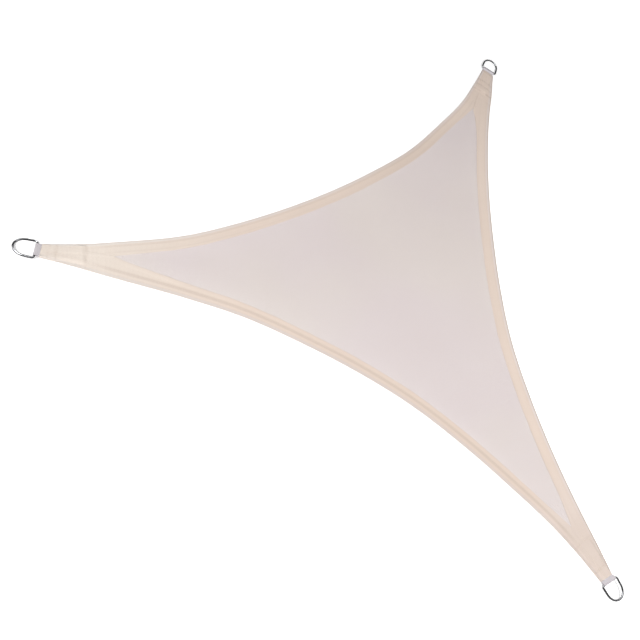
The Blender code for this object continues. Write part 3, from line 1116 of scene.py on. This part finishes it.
def buildRing(name, corner, finish):
    path = ringPath()
    slope = np.roll(path, -1, axis=0) - np.roll(path, 1, axis=0)
    slope /= np.linalg.norm(slope, axis=1)[:, None]
    verts, sides = [], ring["sides"]
    for (x, y), (dx, dy) in zip(path, slope):
        onBar = x < ring["corner"]
        bead = ring["weld"] * bell(y, ring["weldReach"]) * onBar
        for k in range(sides):
            turn = 2 * math.pi * k / sides
            out = (ring["wire"] + bead) * math.cos(turn)
            up = (ring["wire"] + bead) * math.sin(turn)
            verts.append((x + out * dy, y - out * dx, up))
    faces = tubeFaces(0, len(path), sides, closed=True)
    obj = addMesh("steel_" + name, verts, faces, finish)
    # the bar lies in the webbing's fold and the bow on the floor
    spec, high = corner.spec, webbing["barHeight"]
    droop = math.asin((high - ring["wire"]) / ring["depth"])
    turned = Matrix.Rotation(corner.turn + math.radians(spec["ringTurn"]), 4, "Z")
    rolled = Matrix.Rotation(math.radians(spec["roll"]), 4, "X")
    obj.data.transform(turned @ rolled @ Matrix.Rotation(droop, 4, "Y"))
    lowest = min(vert.co.z for vert in obj.data.vertices)
    corner.lift = max(0, ring["clearance"] - lowest - high)
    middle = corner.point(0, spec["drift"])
    obj.data.transform(Matrix.Translation((*middle, high + corner.lift)))
    tidyFaces(obj)
    return obj


def steelFinish():
    f = Finish("polished_steel")
    place = f.place()
    smear = f.noise(place, ring["smearScale"], 3.0)
    drawn = f.add("Mapping", {}, {"Vector": place, "Scale": ring["scratchStretch"]})
    scratch = f.noise(drawn, ring["scratchScale"])
    return f.surface({
        "Base Color": f.mix(smear * 0.4, ring["colour"], ring["smeared"]),
        "Metallic": 1.0,
        "Roughness": ring["roughness"] + smear * 0.10 + scratch * 0.05,
        "Normal": f.bump(scratch, ring["scratchDepth"]),
    })


# Building the object

sail = buildCloth(knitFinish())
print("cloth built:", len(sail.data.polygons), "faces before thickness")
stitches = buildThreads(sail, threadFinish())
print("stitches sewn")
webbingMaterial, steelMaterial = webbingFinish(), steelFinish()
straps = []
pieces = [(obj, "shade_cloth") for obj in [sail, *stitches]]
for name, corner in places.items():
    strap = buildStrap(name, corner, webbingMaterial)
    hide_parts("strap_" + name)
    steel = buildRing(name, corner, steelMaterial)
    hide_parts("ring_" + name)
    straps.append(strap)
    pieces += [(strap, "webbing"), (steel, "ring_steel")]
for obj in [sail, *stitches, *straps]:
    settle(obj)
print("straps and rings built, all settled on the floor")
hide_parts("sail_cloth")
for piece, slotName in pieces:
    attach(piece, "root")

# Floor, light and camera

studio = {
    "floorSize": 40.0,
    "floorTone": (0.93, 0.93, 0.93, 1),
    "floorGlow": (0.25, 0.25, 0.25, 1),
    "farGlow": (0.9, 0.9, 0.9, 1),  # where the lights no longer reach
    "glowFade": (1.1, 2.8),  # from the middle of the floor
    "air": 0.12,  # how bright the dark studio round the softboxes is
    "mirrored": 0.06,  # how bright it looks in the steel
    "backdrop": 0.9,  # how bright it is behind the floor's edge
    "view": "Standard",
    "sensor": 36,
    "lens": 45.34,
    "eyePlace": (-1.26832, -1.10489, 2.11594),
    "eyeTurn": (24.7851, -21.7112, -6.4804),  # in degrees
    # name, place, aim, size, power and how far it's turned in its own plane
    "lamps": (
        ("left_light", (-3.5, -1.3, 3.5), (0, 0, 0), (1.8, 1.8), 181.5, 0),
        ("right_light", (2.0, -1.4, 3.5), (0, 0, 0), (1.8, 1.8), 115.5, 0),
    ),
    # seen only as reflections in the steel
    "reflectors": (
        ("glint_light", (-2.5, 1.4, 3.35), (0, 1.4, 0), (4.1, 1.7), 145, 0),
        ("strip_light", (1.26, 0.47, 3.4), (1.26, 0.47, 0), (5.2, 1.6), 32, -30.5),
    ),
}


def floorFinish():
    f = Finish("pale_floor")
    place = f.place()
    away = f.add("VectorMath", {"operation": "LENGTH"}, {0: place}, 1)
    glow = f.mix(away.ease(*studio["glowFade"]), studio["floorGlow"], studio["farGlow"])
    return f.surface({
        "Base Color": studio["floorTone"],
        "Roughness": 0.9,
        "Specular IOR Level": 0.1,
        "Emission Color": glow,
        "Emission Strength": 1.0,
    })


def softbox(name, place, aim, size, power, turn):
    lamp = bpy.data.lights.new(name, "AREA")
    lamp.shape = "RECTANGLE"
    lamp.size, lamp.size_y = size
    lamp.energy = power
    obj = bpy.data.objects.new(name, lamp)
    bpy.context.scene.collection.objects.link(obj)
    obj.location = place
    obj.rotation_euler = (Vector(aim) - Vector(place)).to_track_quat("-Z", "Y").to_euler()
    obj.rotation_euler.z += math.radians(turn)
    return obj


def airOfStudio():
    world = bpy.data.worlds.new("studio_air")
    bpy.context.scene.world = world
    f = Finish("studio_air", world)
    bright = studio["air"]
    for rays, level in (("Is Camera Ray", "backdrop"), ("Is Glossy Ray", "mirrored")):
        sight = f.add("LightPath", {}, {}, rays)
        feeds = {"Value": sight, "To Min": bright, "To Max": studio[level]}
        bright = f.add("MapRange", {}, feeds)
    air = f.add("Background", {}, {"Color": (1, 1, 1, 1), "Strength": bright})
    f.add("OutputWorld", {}, {"Surface": air}, None)


half = studio["floorSize"] / 2
floor = addMesh(
    "floor", [(-half, -half, 0), (half, -half, 0), (half, half, 0), (-half, half, 0)],
    [(0, 1, 2, 3)], floorFinish(),
)
floor.visible_glossy = False  # the steel mirrors the dark of the studio instead

scene = bpy.context.scene
scene.view_settings.view_transform = studio["view"]
airOfStudio()
for lamp in studio["lamps"]:
    softbox(*lamp).visible_glossy = False
for lamp in studio["reflectors"]:
    softbox(*lamp).visible_diffuse = False

camera = bpy.data.cameras.new("camera")
camera.sensor_width = studio["sensor"]
camera.lens = studio["lens"]
eye = bpy.data.objects.new("camera", camera)
scene.collection.objects.link(eye)
eye.location = studio["eyePlace"]
eye.rotation_euler = [math.radians(turn) for turn in studio["eyeTurn"]]
scene.camera = eye
print("studio set")
